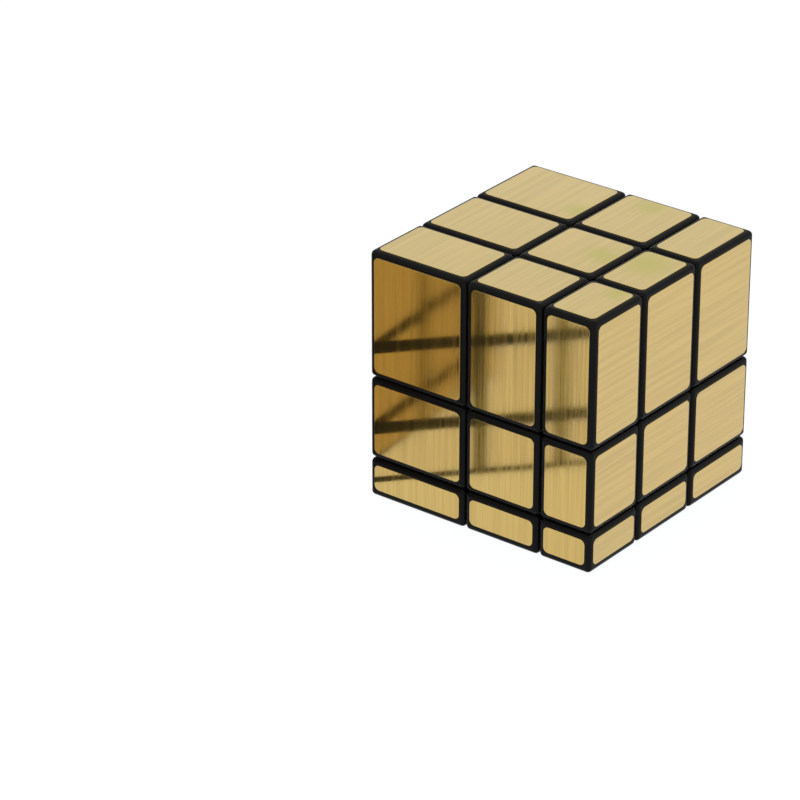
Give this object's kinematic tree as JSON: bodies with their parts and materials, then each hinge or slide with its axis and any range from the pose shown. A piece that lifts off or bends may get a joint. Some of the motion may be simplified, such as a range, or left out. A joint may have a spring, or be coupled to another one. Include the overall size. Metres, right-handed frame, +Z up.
{
  "type": "mirror block cube",
  "caption": "Turning puzzle cube with three layers of unequal thickness on every axis, foiled outside, on a sprung core so that each face turns about its own axis.",
  "frame": {"origin": "middle of the underside of the solved cube, on the surface it stands on", "axes": "+Z up towards the thickest layer, -Y to the front face, +X to the right face; the six turning axes cross at (6, -2, 18.5) mm"},
  "size_m": [0.057, 0.057, 0.057],
  "materials": {
    "black_abs": "moulded ABS, satin black with lightly polished rounded edges",
    "core_nylon": "natural white nylon, as moulded",
    "zinc_steel": "bright zinc-plated steel",
    "spring_steel": "drawn spring wire",
    "gold_foil": "gold-tinted metallised film, brushed one way"
  },
  "bodies": {
    "core": {"core_spider": "core_nylon", "tension_screw_up": "zinc_steel", "tension_screw_down": "zinc_steel", "tension_screw_front": "zinc_steel", "tension_screw_back": "zinc_steel", "tension_screw_left": "zinc_steel", "tension_screw_right": "zinc_steel", "spring_up": "spring_steel", "spring_down": "spring_steel", "spring_front": "spring_steel", "spring_back": "spring_steel", "spring_left": "spring_steel", "spring_right": "spring_steel", "washer_up": "zinc_steel", "washer_down": "zinc_steel", "washer_front": "zinc_steel", "washer_back": "zinc_steel", "washer_left": "zinc_steel", "washer_right": "zinc_steel"},
    "centre_up": {"centre_body_up": "black_abs"},
    "centre_down": {"centre_body_down": "black_abs"},
    "centre_front": {"centre_body_front": "black_abs"},
    "centre_back": {"centre_body_back": "black_abs"},
    "centre_left": {"centre_body_left": "black_abs"},
    "centre_right": {"centre_body_right": "black_abs"},
    "cap_up": {"centre_cap_up": "black_abs"},
    "cap_down": {"centre_cap_down": "black_abs"},
    "cap_front": {"centre_cap_front": "black_abs"},
    "cap_back": {"centre_cap_back": "black_abs"},
    "cap_left": {"centre_cap_left": "black_abs"},
    "cap_right": {"centre_cap_right": "black_abs"},
    "edge_up_front": {"edge_up_front": "black_abs"},
    "edge_up_back": {"edge_up_back": "black_abs"},
    "edge_up_left": {"edge_up_left": "black_abs"},
    "edge_up_right": {"edge_up_right": "black_abs"},
    "edge_down_front": {"edge_down_front": "black_abs"},
    "edge_down_back": {"edge_down_back": "black_abs"},
    "edge_down_left": {"edge_down_left": "black_abs"},
    "edge_down_right": {"edge_down_right": "black_abs"},
    "edge_front_left": {"edge_front_left": "black_abs"},
    "edge_front_right": {"edge_front_right": "black_abs"},
    "edge_back_left": {"edge_back_left": "black_abs"},
    "edge_back_right": {"edge_back_right": "black_abs"},
    "corner_up_front_left": {"corner_shell_up_front_left": "black_abs", "corner_foot_up_front_left": "black_abs"},
    "corner_up_front_right": {"corner_shell_up_front_right": "black_abs", "corner_foot_up_front_right": "black_abs"},
    "corner_up_back_left": {"corner_shell_up_back_left": "black_abs", "corner_foot_up_back_left": "black_abs"},
    "corner_up_back_right": {"corner_shell_up_back_right": "black_abs", "corner_foot_up_back_right": "black_abs"},
    "corner_down_front_left": {"corner_shell_down_front_left": "black_abs", "corner_foot_down_front_left": "black_abs"},
    "corner_down_front_right": {"corner_shell_down_front_right": "black_abs", "corner_foot_down_front_right": "black_abs"},
    "corner_down_back_left": {"corner_shell_down_back_left": "black_abs", "corner_foot_down_back_left": "black_abs"},
    "corner_down_back_right": {"corner_shell_down_back_right": "black_abs", "corner_foot_down_back_right": "black_abs"}
  },
  "joints": [
    {"name": "turn_up", "type": "hinge", "parent": "core", "child": "centre_up", "pos_m": [0.006, -0.002, 0.0185], "axis": [0, 0, 1], "continuous": true},
    {"name": "turn_down", "type": "hinge", "parent": "core", "child": "centre_down", "pos_m": [0.006, -0.002, 0.0185], "axis": [0, 0, -1], "continuous": true},
    {"name": "turn_front", "type": "hinge", "parent": "core", "child": "centre_front", "pos_m": [0.006, -0.002, 0.0185], "axis": [0, -1, 0], "range_deg": [-180, 180]},
    {"name": "turn_back", "type": "hinge", "parent": "core", "child": "centre_back", "pos_m": [0.006, -0.002, 0.0185], "axis": [0, 1, 0], "range_deg": [-180, 180]},
    {"name": "turn_left", "type": "hinge", "parent": "core", "child": "centre_left", "pos_m": [0.006, -0.002, 0.0185], "axis": [-1, 0, 0], "range_deg": [-180, 180]},
    {"name": "turn_right", "type": "hinge", "parent": "core", "child": "centre_right", "pos_m": [0.006, -0.002, 0.0185], "axis": [1, 0, 0], "range_deg": [-180, 180]},
    {"name": "pull_cap_up", "type": "slide", "parent": "centre_up", "child": "cap_up", "axis": [0, 0, 1], "range_m": [0, 0.008]},
    {"name": "pull_cap_down", "type": "slide", "parent": "centre_down", "child": "cap_down", "axis": [0, 0, -1], "range_m": [0, 0.008]},
    {"name": "pull_cap_front", "type": "slide", "parent": "centre_front", "child": "cap_front", "axis": [0, -1, 0], "range_m": [0, 0.008]},
    {"name": "pull_cap_back", "type": "slide", "parent": "centre_back", "child": "cap_back", "axis": [0, 1, 0], "range_m": [0, 0.008]},
    {"name": "pull_cap_left", "type": "slide", "parent": "centre_left", "child": "cap_left", "axis": [-1, 0, 0], "range_m": [0, 0.008]},
    {"name": "pull_cap_right", "type": "slide", "parent": "centre_right", "child": "cap_right", "axis": [1, 0, 0], "range_m": [0, 0.008]},
    {"name": "edge_up_front_follows_front", "type": "hinge", "parent": "centre_up", "child": "edge_up_front", "pos_m": [0.006, -0.002, 0.0185], "axis": [0, -1, 0], "range_deg": [-180, 180]},
    {"name": "edge_up_back_follows_back", "type": "hinge", "parent": "centre_up", "child": "edge_up_back", "pos_m": [0.006, -0.002, 0.0185], "axis": [0, 1, 0], "range_deg": [-180, 180]},
    {"name": "edge_up_left_follows_left", "type": "hinge", "parent": "centre_up", "child": "edge_up_left", "pos_m": [0.006, -0.002, 0.0185], "axis": [-1, 0, 0], "range_deg": [-180, 180]},
    {"name": "edge_up_right_follows_right", "type": "hinge", "parent": "centre_up", "child": "edge_up_right", "pos_m": [0.006, -0.002, 0.0185], "axis": [1, 0, 0], "range_deg": [-180, 180]},
    {"name": "edge_down_front_follows_front", "type": "hinge", "parent": "centre_down", "child": "edge_down_front", "pos_m": [0.006, -0.002, 0.0185], "axis": [0, -1, 0], "range_deg": [-180, 180]},
    {"name": "edge_down_back_follows_back", "type": "hinge", "parent": "centre_down", "child": "edge_down_back", "pos_m": [0.006, -0.002, 0.0185], "axis": [0, 1, 0], "range_deg": [-180, 180]},
    {"name": "edge_down_left_follows_left", "type": "hinge", "parent": "centre_down", "child": "edge_down_left", "pos_m": [0.006, -0.002, 0.0185], "axis": [-1, 0, 0], "range_deg": [-180, 180]},
    {"name": "edge_down_right_follows_right", "type": "hinge", "parent": "centre_down", "child": "edge_down_right", "pos_m": [0.006, -0.002, 0.0185], "axis": [1, 0, 0], "range_deg": [-180, 180]},
    {"name": "edge_front_left_follows_left", "type": "hinge", "parent": "centre_front", "child": "edge_front_left", "pos_m": [0.006, -0.002, 0.0185], "axis": [-1, 0, 0], "range_deg": [-180, 180]},
    {"name": "edge_front_right_follows_right", "type": "hinge", "parent": "centre_front", "child": "edge_front_right", "pos_m": [0.006, -0.002, 0.0185], "axis": [1, 0, 0], "range_deg": [-180, 180]},
    {"name": "edge_back_left_follows_left", "type": "hinge", "parent": "centre_back", "child": "edge_back_left", "pos_m": [0.006, -0.002, 0.0185], "axis": [-1, 0, 0], "range_deg": [-180, 180]},
    {"name": "edge_back_right_follows_right", "type": "hinge", "parent": "centre_back", "child": "edge_back_right", "pos_m": [0.006, -0.002, 0.0185], "axis": [1, 0, 0], "range_deg": [-180, 180]},
    {"name": "corner_up_front_left_follows_left", "type": "hinge", "parent": "edge_up_front", "child": "corner_up_front_left", "pos_m": [0.006, -0.002, 0.0185], "axis": [-1, 0, 0], "range_deg": [-180, 180]},
    {"name": "corner_up_front_right_follows_right", "type": "hinge", "parent": "edge_up_front", "child": "corner_up_front_right", "pos_m": [0.006, -0.002, 0.0185], "axis": [1, 0, 0], "range_deg": [-180, 180]},
    {"name": "corner_up_back_left_follows_left", "type": "hinge", "parent": "edge_up_back", "child": "corner_up_back_left", "pos_m": [0.006, -0.002, 0.0185], "axis": [-1, 0, 0], "range_deg": [-180, 180]},
    {"name": "corner_up_back_right_follows_right", "type": "hinge", "parent": "edge_up_back", "child": "corner_up_back_right", "pos_m": [0.006, -0.002, 0.0185], "axis": [1, 0, 0], "range_deg": [-180, 180]},
    {"name": "corner_down_front_left_follows_left", "type": "hinge", "parent": "edge_down_front", "child": "corner_down_front_left", "pos_m": [0.006, -0.002, 0.0185], "axis": [-1, 0, 0], "range_deg": [-180, 180]},
    {"name": "corner_down_front_right_follows_right", "type": "hinge", "parent": "edge_down_front", "child": "corner_down_front_right", "pos_m": [0.006, -0.002, 0.0185], "axis": [1, 0, 0], "range_deg": [-180, 180]},
    {"name": "corner_down_back_left_follows_left", "type": "hinge", "parent": "edge_down_back", "child": "corner_down_back_left", "pos_m": [0.006, -0.002, 0.0185], "axis": [-1, 0, 0], "range_deg": [-180, 180]},
    {"name": "corner_down_back_right_follows_right", "type": "hinge", "parent": "edge_down_back", "child": "corner_down_back_right", "pos_m": [0.006, -0.002, 0.0185], "axis": [1, 0, 0], "range_deg": [-180, 180]}
  ],
  "couplings": [
    {"joint": "edge_up_front_follows_front", "follows": "turn_front", "ratio": 1},
    {"joint": "edge_up_back_follows_back", "follows": "turn_back", "ratio": 1},
    {"joint": "edge_up_left_follows_left", "follows": "turn_left", "ratio": 1},
    {"joint": "edge_up_right_follows_right", "follows": "turn_right", "ratio": 1},
    {"joint": "edge_down_front_follows_front", "follows": "turn_front", "ratio": 1},
    {"joint": "edge_down_back_follows_back", "follows": "turn_back", "ratio": 1},
    {"joint": "edge_down_left_follows_left", "follows": "turn_left", "ratio": 1},
    {"joint": "edge_down_right_follows_right", "follows": "turn_right", "ratio": 1},
    {"joint": "edge_front_left_follows_left", "follows": "turn_left", "ratio": 1},
    {"joint": "edge_front_right_follows_right", "follows": "turn_right", "ratio": 1},
    {"joint": "edge_back_left_follows_left", "follows": "turn_left", "ratio": 1},
    {"joint": "edge_back_right_follows_right", "follows": "turn_right", "ratio": 1},
    {"joint": "corner_up_front_left_follows_left", "follows": "turn_left", "ratio": 1},
    {"joint": "corner_up_front_right_follows_right", "follows": "turn_right", "ratio": 1},
    {"joint": "corner_up_back_left_follows_left", "follows": "turn_left", "ratio": 1},
    {"joint": "corner_up_back_right_follows_right", "follows": "turn_right", "ratio": 1},
    {"joint": "corner_down_front_left_follows_left", "follows": "turn_left", "ratio": 1},
    {"joint": "corner_down_front_right_follows_right", "follows": "turn_right", "ratio": 1},
    {"joint": "corner_down_back_left_follows_left", "follows": "turn_left", "ratio": 1},
    {"joint": "corner_down_back_right_follows_right", "follows": "turn_right", "ratio": 1}
  ]
}
